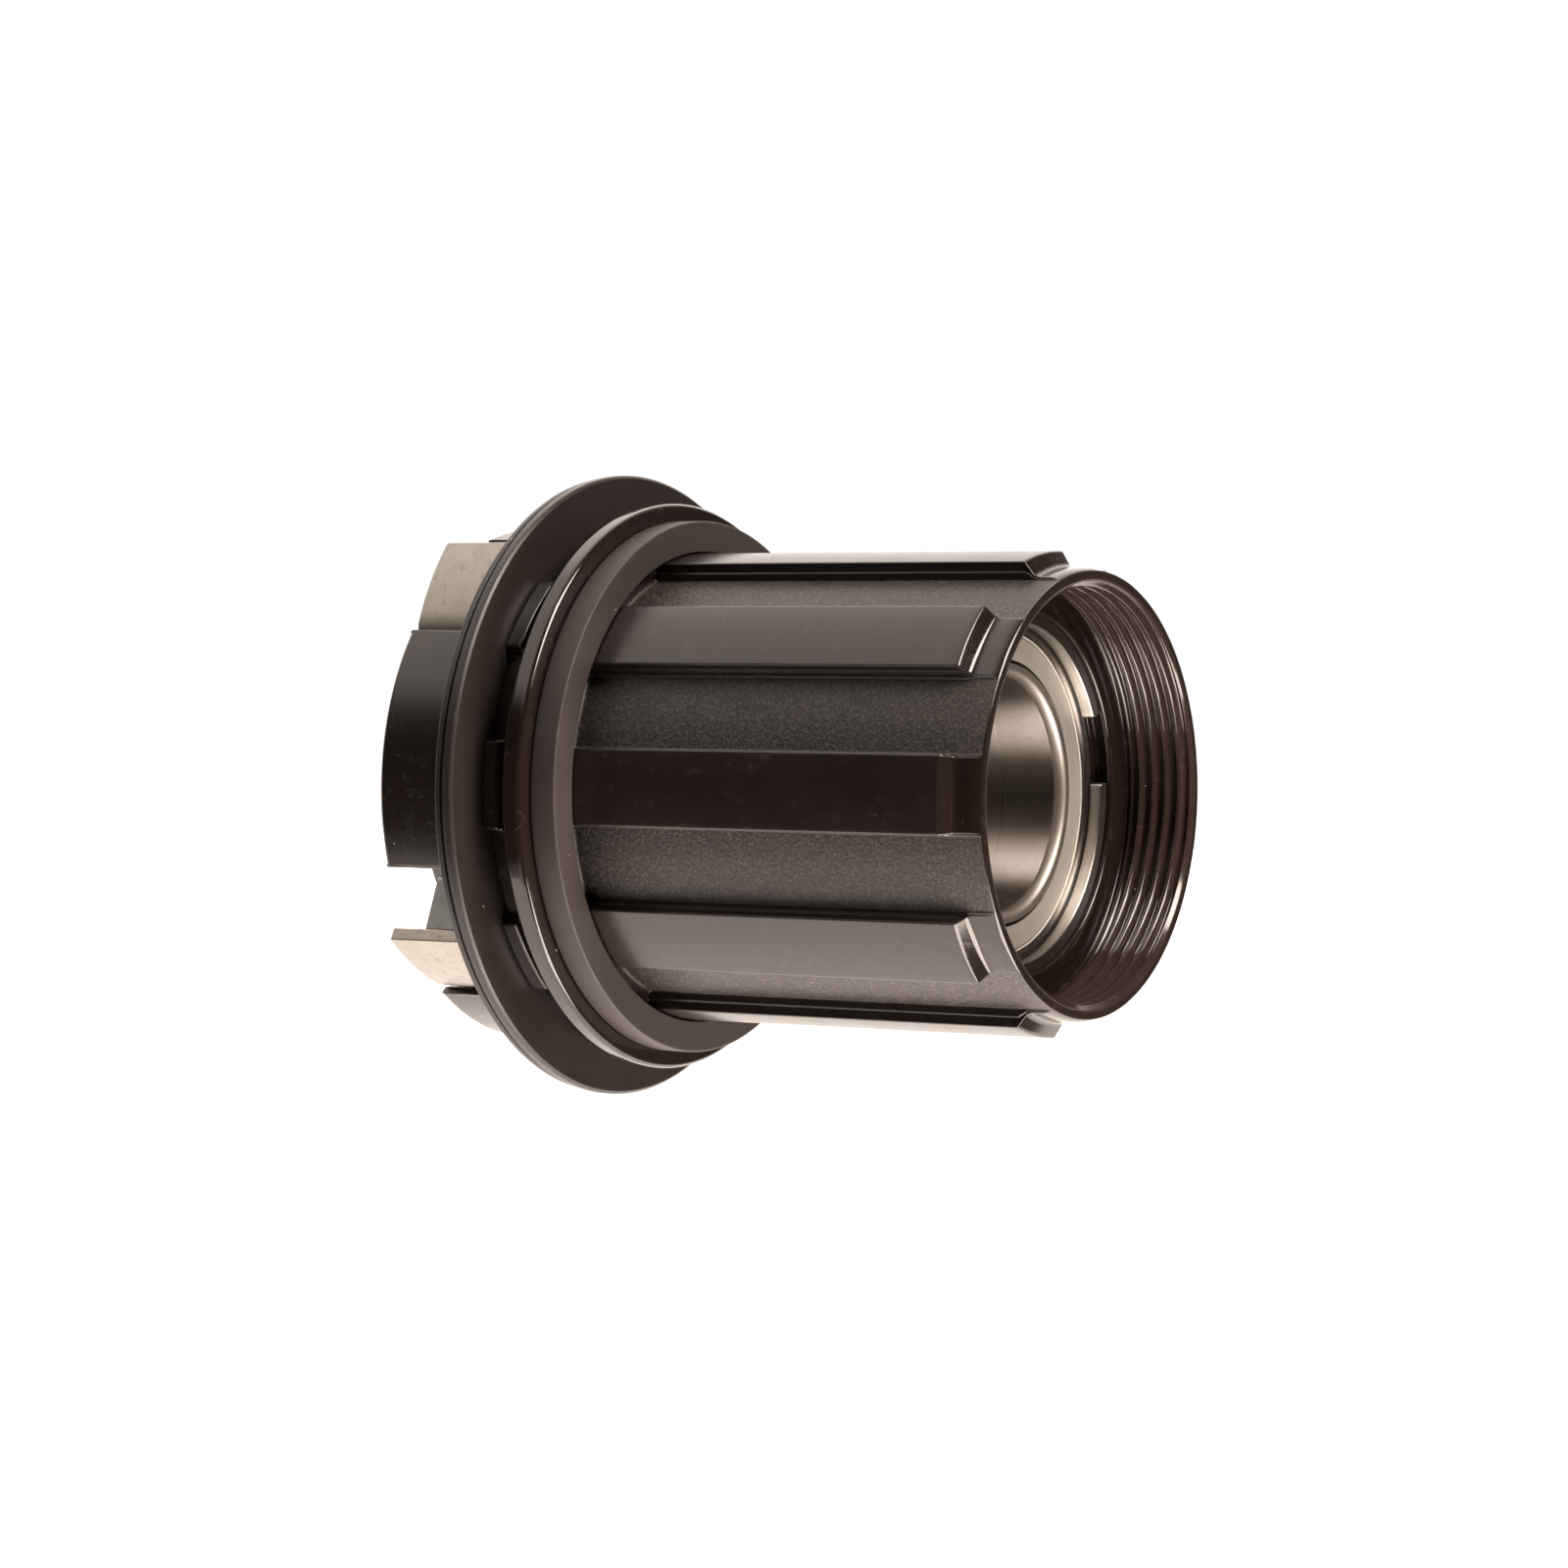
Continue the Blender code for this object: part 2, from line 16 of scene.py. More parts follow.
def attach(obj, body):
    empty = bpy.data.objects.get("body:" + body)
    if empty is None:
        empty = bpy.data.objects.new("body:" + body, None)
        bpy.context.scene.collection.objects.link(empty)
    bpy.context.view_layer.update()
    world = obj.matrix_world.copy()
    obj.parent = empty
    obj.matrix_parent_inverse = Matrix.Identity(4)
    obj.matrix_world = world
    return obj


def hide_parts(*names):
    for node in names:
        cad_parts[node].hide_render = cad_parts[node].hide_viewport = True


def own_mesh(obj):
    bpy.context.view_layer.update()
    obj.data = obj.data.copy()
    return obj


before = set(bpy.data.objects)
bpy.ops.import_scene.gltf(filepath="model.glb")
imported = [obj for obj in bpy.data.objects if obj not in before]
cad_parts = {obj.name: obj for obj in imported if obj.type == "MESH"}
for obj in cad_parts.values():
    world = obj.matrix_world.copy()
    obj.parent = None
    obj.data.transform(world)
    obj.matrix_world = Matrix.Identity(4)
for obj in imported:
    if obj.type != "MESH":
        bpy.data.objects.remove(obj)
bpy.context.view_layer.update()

MM = 0.001
HALF_LENGTH = 24.3
BODY_LENGTH = 48.6

# Mesh rows kept close to an edge, so that its wear stays narrow.
SUPPORT_FROM = 0.7
SUPPORT_GAP = 0.16
FULL_WEAR_BEND = 0.5
HEM = 0.06

# Splines.
LAND_COUNT = 9
LAND_PITCH = 40.0
LAND_HALF = 9.5
KEY_SHIFT = 4.0
KEY_ANGLES = [160.0, 168.0, 171.5, 182.0]
KEY_WEIGHTS = [0.0, 1.0, 1.0, 0.0]

# Lockring thread, right-handed.
THREAD_PITCH = 25.4 / 24.0
THREAD_MAJOR = 15.25
THREAD_DEPTH = 0.5
THREAD_END = 5.36
THREAD_ROW = 0.05

# Pawls and their pockets, measured from a pivot.
PAWL_COUNT = 4
PIVOT_ANGLE = 39.5
PIVOT_RADIUS = 17.0
SOCKET_RADIUS = 2.0
LIP_OFFSET = -1.24
SOCKET_END = (1.2, -1.6)
POCKET_FLOOR_RADIUS = 14.2
POCKET_WALL_ANGLE = 31.8
CARRIER_RADIUS = 19.2
POCKET_START = 41.45
PAWL_START = 41.75
PAWL_END = 48.5
PAWL_REACH = 7.17
PAWL_FLUSH_RADIUS = 19.0
PAWL_TRAVEL = 21.0
HEEL_RADIUS = 1.85
LIP_ROUND = 0.36

# Circlip: radii, stations, and the angle and half width of its gap.
CLIP_INNER = 12.2
CLIP_OUTER = 13.5
CLIP_START = 6.1
CLIP_END = 7.1
CLIP_GAP = 165.0
CLIP_HALF_GAP = 11.5
CLIP_CORNER = 0.3

# Bearings.
OUTBOARD_BEARING = 7.2
INBOARD_BEARING = 43.3
BEARING_WIDTH = 5.0
BALL_COUNT = 14
BALL_RADIUS = 1.389
PITCH_RADIUS = 10.75


# ---------------------------------------------------------------- shapes


def place(radius, degrees, station):
    """Row-frame points in metres from polar coordinates in millimetres."""
    angle = np.radians(degrees)
    radius, angle, station = np.broadcast_arrays(radius, angle, station)
    points = [-radius * np.cos(angle), station - HALF_LENGTH, radius * np.sin(angle)]
    return np.stack(points, axis=-1) * MM


def rounded(points, steps=3, closed=True):
    """A profile with its corners rounded off. A point is (a, b) or (a, b, fillet)."""
    result = []
    count = len(points)
    for index, point in enumerate(points):
        corner = np.array(point[:2], float)
        fillet = point[2] if len(point) > 2 else 0.0
        if fillet <= 0.0 or (not closed and index in (0, count - 1)):
            result.append(corner)
            continue
        before = np.array(points[index - 1][:2], float) - corner
        after = np.array(points[(index + 1) % count][:2], float) - corner
        near, far = np.linalg.norm(before), np.linalg.norm(after)
        size = min(fillet, 0.48 * near, 0.48 * far)
        first = corner + before / near * size
        last = corner + after / far * size
        for step in range(steps + 1):
            t = step / steps
            result.append((1 - t) ** 2 * first + 2 * t * (1 - t) * corner + t * t * last)
    return np.array(result)


def supported(line, closed=True):
    """Add points close to both ends of every long stretch of a profile."""
    result = []
    count = len(line)
    for index in range(count):
        result.append(line[index])
        if not closed and index == count - 1:
            break
        step = line[(index + 1) % count] - line[index]
        length = np.linalg.norm(step[:2])
        if length > SUPPORT_FROM:
            share = SUPPORT_GAP / length
            result.append(line[index] + step * share)
            result.append(line[index] + step * (1.0 - share))
    return np.array(result)


def grid_faces(rows, columns, wrap_rows):
    """Quads of a grid whose columns close on themselves."""
    faces = []
    for row in range(rows if wrap_rows else rows - 1):
        low = row * columns
        high = (row + 1) % rows * columns
        for column in range(columns):
            after = (column + 1) % columns
            faces.append((low + column, low + after, high + after, high + column))
    return faces


def to_mesh(name, verts, faces, loops_to_fill=()):
    """A closed mesh with outward normals. Each entry to fill is a list of vertex loops."""
    mesh = bpy.data.meshes.new(name)
    mesh.from_pydata([tuple(vert) for vert in verts], [], faces)
    builder = bmesh.new()
    builder.from_mesh(mesh)
    builder.verts.ensure_lookup_table()
    for loops in loops_to_fill:
        edges = []
        for loop in loops:
            for index, vert in enumerate(loop):
                pair = (builder.verts[vert], builder.verts[loop[(index + 1) % len(loop)]])
                edges.append(builder.edges.get(pair))
        bmesh.ops.triangle_fill(builder, use_beauty=True, edges=edges)
    bmesh.ops.recalc_face_normals(builder, faces=builder.faces)
    sharp = np.zeros(len(builder.verts), np.float32)
    for edge in builder.edges:
        bend = edge.calc_face_angle_signed(0.0) / FULL_WEAR_BEND
        for vert in edge.verts:
            sharp[vert.index] = max(sharp[vert.index], min(1.0, bend))
    builder.to_mesh(mesh)
    builder.free()
    layer = mesh.attributes.new("edge", "FLOAT", "POINT")
    layer.data.foreach_set("value", sharp)
    mesh.shade_smooth()
    return mesh


def add_piece(mesh, body, material, nodes):
    """Put a finished mesh in the scene in the place of its CAD nodes."""
    piece = bpy.data.objects.new(mesh.name, mesh)
    bpy.context.scene.collection.objects.link(piece)
    mesh.materials.append(material)
    weights = piece.modifiers.new("even normals", "WEIGHTED_NORMAL")
    weights.mode = "FACE_AREA"
    weights.weight = 60
    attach(piece, body)
    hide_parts(*nodes)
    return piece


def turned(name, profile, steps=180, fillet_steps=3):
    """A ring turned from a closed profile of (radius, station, fillet) points."""
    line = supported(rounded(profile, fillet_steps))
    angles = np.arange(steps) * 360.0 / steps
    verts = place(line[:, 0:1], angles[None, :], line[:, 1:2]).reshape(-1, 3)
    return to_mesh(name, verts, grid_faces(len(line), steps, True))


def unit(vectors):
    return vectors / np.linalg.norm(vectors, axis=1, keepdims=True)


def inset(loop, distance):
    """Move a closed outline into its own area."""
    ahead = unit(np.roll(loop, -1, axis=0) - loop)
    behind = np.roll(ahead, 1, axis=0)
    following = np.roll(loop, -1, axis=0)
    area = np.sum(loop[:, 0] * following[:, 1] - loop[:, 1] * following[:, 0])
    turn = 1.0 if area > 0.0 else -1.0
    inward_ahead = turn * np.stack([-ahead[:, 1], ahead[:, 0]], axis=1)
    inward_behind = turn * np.stack([-behind[:, 1], behind[:, 0]], axis=1)
    middle = unit(inward_ahead + inward_behind)
    reach = np.maximum(np.sum(middle * inward_ahead, axis=1, keepdims=True), 0.6)
    return loop + middle / reach * np.reshape(distance, (-1, 1))


def to_row(loop, station):
    """Row-frame points in metres from a cross-section outline in millimetres."""
    station = np.broadcast_to(station, (len(loop),))
    return np.stack([loop[:, 0], station - HALF_LENGTH, loop[:, 1]], axis=1) * MM


def prism(name, loop, start, end, edge, edge_steps=3):
    """An outline carried along the axle, with both of its end edges rounded."""
    quarter = np.radians(np.linspace(90.0, 0.0, edge_steps + 1))
    rings = [
        to_row(inset(loop, edge * (1 - np.cos(a))), start + edge * (1 - np.sin(a))) for a in quarter
    ]
    for a in quarter[::-1]:
        rings.append(to_row(inset(loop, edge * (1 - np.cos(a))), end - edge * (1 - np.sin(a))))
    count = len(loop)
    faces = grid_faces(len(rings), count, False)
    faces.append(tuple(range(count)))
    last = (len(rings) - 1) * count
    faces.append(tuple(range(last, last + count)))
    return to_mesh(name, np.concatenate(rings), faces)


def from_pivot(points, pivot_angle):
    """Cross-section points in millimetres from (tangent, radial) about a pivot."""
    points = np.array(points, float)
    angle = math.radians(90.0 - pivot_angle)
    out = points[:, 1] + PIVOT_RADIUS
    x = points[:, 0] * math.cos(angle) - out * math.sin(angle)
    z = points[:, 0] * math.sin(angle) + out * math.cos(angle)
    return np.stack([x, z], axis=1)


def arc(centre, radius, start, end, count):
    angles = np.radians(np.linspace(start, end, count + 1))
    x = centre[0] + radius * np.cos(angles)
    return list(zip(x, centre[1] + radius * np.sin(angles)))


# ---------------------------------------------------------------- freehub body

# How a land's side rises from the valley: degrees into the land, share of the height.
LAND_SIDE = [
    (-1.10, 0.0), (-0.85, 0.0), (-0.57, 0.02), (-0.41, 0.06), (-0.35, 0.13), (-0.33, 0.40),
    (-0.31, 0.43), (-0.25, 0.45), (0.03, 0.46), (0.11, 0.48), (0.16, 0.53), (0.19, 0.88),
    (0.25, 0.95), (0.40, 0.99), (0.65, 1.0), (1.25, 1.0),
]

# Outside of the body: land station and radius, then valley station and radius.
NOSE_ROWS = [
    (0.0, 15.62, 0.0, 15.62), (0.0, 15.79, 0.0, 15.77), (0.03, 15.87, 0.02, 15.85),
    (0.14, 15.95, 0.05, 15.90), (0.34, 16.04, 0.10, 15.93), (0.62, 16.11, 0.18, 15.95),
    (0.92, 16.145, 0.9, 15.95), (1.12, 16.15, 1.12, 15.95), (1.58, 16.15, 1.58, 15.95),
    (1.76, 16.165, 1.76, 15.95), (1.94, 16.215, 1.94, 15.95), (2.06, 16.27, 2.06, 15.95),
    (2.17, 16.36, 2.17, 15.95),
    (2.67, 17.19, 2.67, 15.95), (2.73, 17.265, 2.73, 15.95), (2.86, 17.3, 2.86, 15.95),
    (3.30, 17.3, 3.30, 15.95), (10.0, 17.3, 10.0, 15.95), (18.0, 17.3, 18.0, 15.95),
    (26.0, 17.3, 26.0, 15.95), (33.55, 17.3, 33.55, 15.95), (33.74, 17.3, 33.74, 15.97),
    (33.85, 17.3, 33.85, 16.04), (33.90, 17.3, 33.90, 16.15), (33.91, 17.3, 33.91, 17.15),
    (33.95, 17.3, 33.95, 17.26), (34.05, 17.3, 34.05, 17.3),
]
SHOULDER_ROWS = [
    (34.80, 17.3), (34.93, 17.34), (34.95, 17.45), (34.95, 20.64), (34.97, 20.75), (35.03, 20.84),
    (35.13, 20.93), (35.22, 20.98), (35.36, 21.0), (36.20, 21.0), (36.34, 20.98), (36.42, 20.9),
    (36.45, 20.76), (36.45, 18.62), (36.48, 18.47), (36.62, 18.4),
]
COLLAR_ROWS = [
    (37.74, 18.4, 37.74, 18.4), (37.86, 18.42, 37.86, 18.42), (37.90, 18.50, 37.90, 18.48),
    (37.90, 19.36, 37.905, 18.53), (37.92, 19.47, 37.93, 18.57), (38.00, 19.56, 38.0, 18.595),
    (38.12, 19.6, 38.12, 18.6), (39.05, 19.6, 39.05, 18.6), (39.15, 19.57, 39.15, 18.58),
    (39.20, 19.48, 39.20, 18.5), (39.20, 17.68, 39.20, 17.68), (39.23, 17.56, 39.23, 17.56),
]
SEAT_ROWS = [
    (39.34, 17.5), (40.92, 17.5), (41.02, 17.53), (41.05, 17.62), (41.05, 19.02), (41.07, 19.12),
    (41.16, 19.19), (41.28, 19.2), (POCKET_START, CARRIER_RADIUS),
]
# Bore, from the hub end out to the thread.
BORE_ROWS = [
    (48.60, 13.50), (48.60, 13.34), (48.57, 13.27), (48.33, 13.04), (48.22, 13.0), (43.30, 13.0),
    (43.22, 12.97), (43.20, 12.88), (43.20, 11.7), (43.17, 11.63), (43.08, 11.6), (12.42, 11.6),
    (12.33, 11.63),
    (12.30, 11.7), (12.30, 12.88), (12.28, 12.97), (12.20, 13.0), (7.25, 13.0), (7.17, 13.02),
    (7.15, 13.1), (7.15, 13.62), (7.12, 13.68), (7.04, 13.7), (6.16, 13.7), (6.08, 13.68),
    (6.05, 13.62), (6.05, 13.1), (6.03, 13.02), (5.95, 13.0), (5.76, 13.0), (5.65, 13.04),
    (5.60, 13.14), (5.60, 15.12), (5.57, 15.22), (5.47, 15.25),
]


def body_columns():
    """Angle and landness of every column around the body, with the pocket lips."""
    table = []
    for land in range(LAND_COUNT):
        centre = land * LAND_PITCH
        table += [(centre - LAND_HALF + offset, rise) for offset, rise in LAND_SIDE]
        table += [(centre + offset, 1.0) for offset in np.linspace(-7.4, 7.4, 8)]
        table += [(centre + LAND_HALF - offset, rise) for offset, rise in reversed(LAND_SIDE)]
        table += [(centre + offset, 0.0) for offset in np.linspace(11.6, 28.4, 9)]
    angles = np.array([angle for angle, rise in table])
    rises = np.array([rise for angle, rise in table])
    lips = []
    for pawl in range(PAWL_COUNT):
        pivot = PIVOT_ANGLE + pawl * 360.0 / PAWL_COUNT
        lip = math.degrees(math.asin(LIP_OFFSET / CARRIER_RADIUS))
        lips.append((pivot + lip - LIP_ROUND, pivot + POCKET_WALL_ANGLE + LIP_ROUND))
    extra = np.array(lips).ravel()
    rises = np.concatenate([rises, np.interp(extra, angles, rises)])
    angles = np.concatenate([angles, extra])
    order = np.argsort(angles)
    return angles[order], rises[order], lips


def thread_radius(station, angles):
    """A 60 degree thread that follows a right-hand helix, cut back at both ends."""
    phase = (station / THREAD_PITCH - angles / 360.0) % 1.0
    flank = (np.abs(phase - 0.5) * 2.0 - 0.2) / 0.72
    ridge = 1.0 - np.clip(flank, 0.0, 1.0)
    ridge = ridge * 0.8 + ridge * ridge * (3.0 - 2.0 * ridge) * 0.2
    runout = min(1.0, (THREAD_END - station) / 0.45)
    countersink = THREAD_MAJOR + 0.03 - 1.1 * station
    return np.maximum(THREAD_MAJOR - THREAD_DEPTH * ridge * runout, countersink)


def body_rows(angles, rises):
    """Radius, station, angle, gloss and grain at each row and column of the body."""
    key = np.interp(angles, KEY_ANGLES, KEY_WEIGHTS, left=0.0, right=0.0) * KEY_SHIFT
    keyed = angles + key
    even = np.ones_like(angles)
    rows = [(radius * even, station * even, keyed, 0.9, 0.0) for station, radius in BORE_ROWS]
    count = round(THREAD_END / THREAD_ROW)
    for station in np.linspace(THREAD_END, 0.03, count):
        rows.append((thread_radius(station, keyed), station * even, keyed, 0.9, 0.0))
    rows.append((15.34 * even, 0.0 * even, keyed, 0.7, 0.0))

    def splined(entry, around, gloss):
        land_station, land_radius, valley_station, valley_radius = entry
        radius = valley_radius + (land_radius - valley_radius) * rises
        station = valley_station + (land_station - valley_station) * rises
        grain = 1.0 if 0.15 < valley_station < 33.8 else 0.0
        return (radius, station, around, gloss, grain)

    rows += [splined(entry, keyed, 0.8 if entry[0] < 2.68 else 0.0) for entry in NOSE_ROWS]
    rows += [(radius * even, station * even, keyed, 1.0, 0.0) for station, radius in SHOULDER_ROWS]
    rows += [splined(entry, angles, 1.0) for entry in COLLAR_ROWS]
    for station, radius in SEAT_ROWS:
        rows.append((radius * even, station * even, angles, 0.15, 0.0))
    return with_support(rows)


def with_support(rows):
    """Add rows close to both ends of every long stretch between two rows."""
    result = [rows[0]]
    for before, after in zip(rows, rows[1:]):
        length = np.max(np.hypot(after[0] - before[0], after[1] - before[1]))
        if length > SUPPORT_FROM:
            for share in (SUPPORT_GAP / length, 1.0 - SUPPORT_GAP / length):
                mixed = [(1.0 - share) * before[part] + share * after[part] for part in range(3)]
                near = before if share < 0.5 else after
                result.append((*mixed, near[3], near[4]))
        result.append(after)
    return result


def pocket_path():
    """Inside of a pawl pocket from lip to lip, about the pivot, without its two ends."""
    lip_y = math.sqrt(CARRIER_RADIUS**2 - LIP_OFFSET**2) - PIVOT_RADIUS
    lip_angle = math.degrees(math.asin(LIP_OFFSET / CARRIER_RADIUS)) - LIP_ROUND

    def on_carrier(degrees, radius=CARRIER_RADIUS):
        angle = math.radians(degrees)
        return (radius * math.sin(angle), radius * math.cos(angle) - PIVOT_RADIUS)

    socket_angle = math.degrees(math.acos(LIP_OFFSET / SOCKET_RADIUS))
    sink_angle = 360.0 + math.degrees(math.atan2(SOCKET_END[1], SOCKET_END[0]))
    socket = arc((0.0, 0.0), SOCKET_RADIUS, socket_angle, sink_angle, 20)
    points = [on_carrier(lip_angle), (LIP_OFFSET, lip_y, 0.13)]
    points += socket[:-1]
    points.append((*socket[-1], 0.2))
    floor_start = 90.0 - math.degrees(math.asin(SOCKET_END[0] / POCKET_FLOOR_RADIUS))
    floor_end = 90.0 - POCKET_WALL_ANGLE
    floor = arc((0.0, -PIVOT_RADIUS), POCKET_FLOOR_RADIUS, floor_start, floor_end, 10)
    points.append((*floor[0], 0.25))
    points += floor[1:-1]
    points.append((*floor[-1], 0.35))
    points.append((*on_carrier(POCKET_WALL_ANGLE), 0.13))
    points.append(on_carrier(POCKET_WALL_ANGLE + LIP_ROUND))
    return rounded(points, 4, closed=False)[1:-1]


def make_body(material):
    angles, rises, lips = body_columns()
    rows = body_rows(angles, rises)
    columns = len(angles)
    verts = [place(radius, around, station) for radius, station, around, gloss, grain in rows]
    gloss = [np.full(columns, row[3]) for row in rows]
    grain = [row[4] * np.clip(1.0 - rises / 0.05, 0.0, 1.0) for row in rows]
    faces = grid_faces(len(rows), columns, False)

    # Around the carrier: grid columns between the pockets, new points inside them.
    total = len(rows) * columns
    circle = total - columns
    ring, outline, edge, fronts = [], [], [], []
    column = 0
    starts = [int(np.argmin(np.abs(angles - lip[0]))) for lip in lips]
    ends = [int(np.argmin(np.abs(angles - lip[1]))) for lip in lips]
    path = pocket_path()
    fresh = []
    while column < columns:
        ring.append(circle + column)
        angle = math.radians(angles[column])
        outline.append((-CARRIER_RADIUS * math.cos(angle), CARRIER_RADIUS * math.sin(angle)))
        edge.append(0.3)
        if column in starts:
            pocket = starts.index(column)
            points = from_pivot(path, PIVOT_ANGLE + pocket * 360.0 / PAWL_COUNT)
            indices = list(range(total + len(fresh), total + len(fresh) + len(points)))
            fresh += list(points)
            ring += indices
            outline += [tuple(point) for point in points]
            blend = np.minimum(np.arange(len(points)), np.arange(len(points))[::-1]) / 4.0
            edge += list(0.3 - 0.18 * np.clip(blend, 0.0, 1.0))
            front = [circle + index for index in range(starts[pocket], ends[pocket] + 1)]
            fronts.append(tuple(front + indices[::-1]))
            column = ends[pocket]
        else:
            column += 1
    outline, edge = np.array(outline), np.array(edge)
    verts.append(to_row(np.array(fresh), POCKET_START))
    total += len(fresh)
    faces += fronts
    hems = [(0.0 * edge, edge + SUPPORT_GAP), (0.0 * edge, edge + 0.0)]
    for angle in np.radians([30.0, 60.0, 90.0]):
        hems.append((edge * (1.0 - np.cos(angle)), edge * (1.0 - np.sin(angle))))
    hems.append((edge + HEM, 0.0 * edge))
    for inward, back in hems:
        verts.append(to_row(inset(outline, inward), BODY_LENGTH - back))
        following = list(range(total, total + len(ring)))
        for index in range(len(ring)):
            after = (index + 1) % len(ring)
            faces.append((ring[index], ring[after], following[after], following[index]))
        ring = following
        total += len(ring)
    verts = np.concatenate([np.reshape(part, (-1, 3)) for part in verts])
    mesh = to_mesh("freehub_body_finished", verts, faces, [[ring, list(range(columns))]])
    for label, values, rest in (("gloss", gloss, 0.15), ("grain", grain, 0.0)):
        layer = mesh.attributes.new(label, "FLOAT", "POINT")
        values = np.concatenate(values + [np.full(len(verts) - len(rows) * columns, rest)])
        layer.data.foreach_set("value", values.astype(np.float32))
    add_piece(mesh, "driver", material, ["freehub_body"])


# ---------------------------------------------------------------- other pieces


def make_rings(looks):
    spacer = [
        (17.42, 32.8, 0.08), (19.7, 32.8, 0.14), (19.7, 34.85, 0.08), (17.42, 34.85, 0.05),
    ]
    mesh = turned("cassette_spacer_ring_finished", spacer, 240)
    add_piece(mesh, "driver", looks["spacer"], ["cassette_spacer_ring"])
    seal = [
        (17.65, 39.3, 0.05), (22.93, 39.3, 0.05), (23.15, 39.5, 0.07), (23.15, 40.05, 0.05),
        (22.8, 40.12, 0.04), (22.8, 40.36, 0.04), (23.0, 40.43, 0.05), (23.0, 40.85, 0.1),
        (17.65, 40.85, 0.05),
    ]
    mesh = turned("seal_disc_finished", seal, 300)
    add_piece(mesh, "driver", looks["seal"], ["seal_disc"])
    tube = [
        (8.51, 12.22, 0.02), (9.35, 12.22, 0.1), (9.7, 12.6, 0.1), (9.7, 42.9, 0.1),
        (9.35, 43.28, 0.1), (8.51, 43.28, 0.02),
    ]
    mesh = turned("bearing_spacer_tube_finished", tube, 180)
    add_piece(mesh, "axle_core", looks["tube"], ["bearing_spacer_tube"])


def make_circlip(material):
    """Retaining ring, its ends standing a little apart with rounded corners."""
    angles = np.linspace(CLIP_GAP + CLIP_HALF_GAP, CLIP_GAP + 360.0 - CLIP_HALF_GAP, 120)
    loop = []
    for radius, around in ((CLIP_INNER, angles), (CLIP_OUTER, angles[::-1])):
        side = [(-radius * math.cos(a), radius * math.sin(a)) for a in np.radians(around)]
        loop += [(*side[0], CLIP_CORNER)] + side[1:-1] + [(*side[-1], CLIP_CORNER)]
    mesh = prism("retaining_circlip_finished", rounded(loop, 3), CLIP_START, CLIP_END, 0.12)
    add_piece(mesh, "driver", material, ["retaining_circlip"])


def race(groove, land, middle, inwards):
    """Curved ball groove across a race."""
    half = 0.95
    points = []
    for index in range(9):
        t = -1.0 + index / 4.0
        depth = math.sqrt(max(0.0, 1.0 - t * t))
        points.append((land + (groove - land) * depth, middle + half * t))
    if inwards:
        points.reverse()
    return points


def make_bearing(side, front, looks):
    back = front + BEARING_WIDTH
    middle = front + BEARING_WIDTH / 2.0
    steel = looks["bearing"]
    outer = [
        (11.75, front, 0.08), (12.9, front, 0.28), (12.9, back, 0.28), (11.75, back, 0.08),
    ] + race(12.25, 11.75, middle, True)
    mesh = turned(f"{side}_outer_ring_finished", outer)
    add_piece(mesh, "driver", steel, [f"{side}_outer_ring"])
    inner = [
        (9.35, front, 0.12), (9.35, front + 0.6, 0.06), (9.75, front + 0.6, 0.06),
    ] + race(9.28, 9.75, middle, False)
    inner += [
        (9.75, back - 0.6, 0.06), (9.35, back - 0.6, 0.06), (9.35, back, 0.12),
    ]
    quarter = np.radians(np.linspace(0.0, 90.0, 8))
    entry = [(9.0 - 0.5 * math.sin(a), 1.0 - math.cos(a)) for a in quarter]
    if side == "outboard":
        inner += [(8.5, back, 0.03)] + [(radius, front + deep) for radius, deep in reversed(entry)]
    else:
        inner += [(radius, back - deep) for radius, deep in entry] + [(8.5, front, 0.03)]
    mesh = turned(f"{side}_inner_ring_finished", inner, fillet_steps=6)
    add_piece(mesh, "axle_core", steel, [f"{side}_inner_ring"])
    outside = front + 0.15
    inside = back - 0.15
    for label, face, way in (("mouth_shield", outside, 1.0), ("hub_shield", inside, -1.0)):
        profile = [
            (9.55, face, 0.06), (11.36, face, 0.03), (11.4, face + way * 0.05, 0.02),
            (11.46, face + way * 0.05, 0.02), (11.5, face, 0.03), (11.62, face, 0.04),
            (11.62, face + way * 0.3, 0.04), (9.55, face + way * 0.3, 0.04),
        ]
        mesh = turned(f"{side}_{label}_finished", profile, 180, 2)
        add_piece(mesh, "driver", looks["shield"], [f"{side}_{label}"])
    for index in range(BALL_COUNT):
        name = f"{side}_ball_{index + 1:02d}"
        make_ball(name, index * 360.0 / BALL_COUNT, middle, f"{side}_ball_set", looks["ball"])


def make_ball(name, angle, station, body, material):
    builder = bmesh.new()
    bmesh.ops.create_icosphere(builder, subdivisions=4, radius=BALL_RADIUS * MM)
    centre = place(PITCH_RADIUS, angle, station)
    bmesh.ops.translate(builder, verts=builder.verts, vec=Vector(centre))
    mesh = bpy.data.meshes.new(name + "_finished")
    builder.to_mesh(mesh)
    builder.free()
    mesh.shade_smooth()
    add_piece(mesh, body, material, [name])


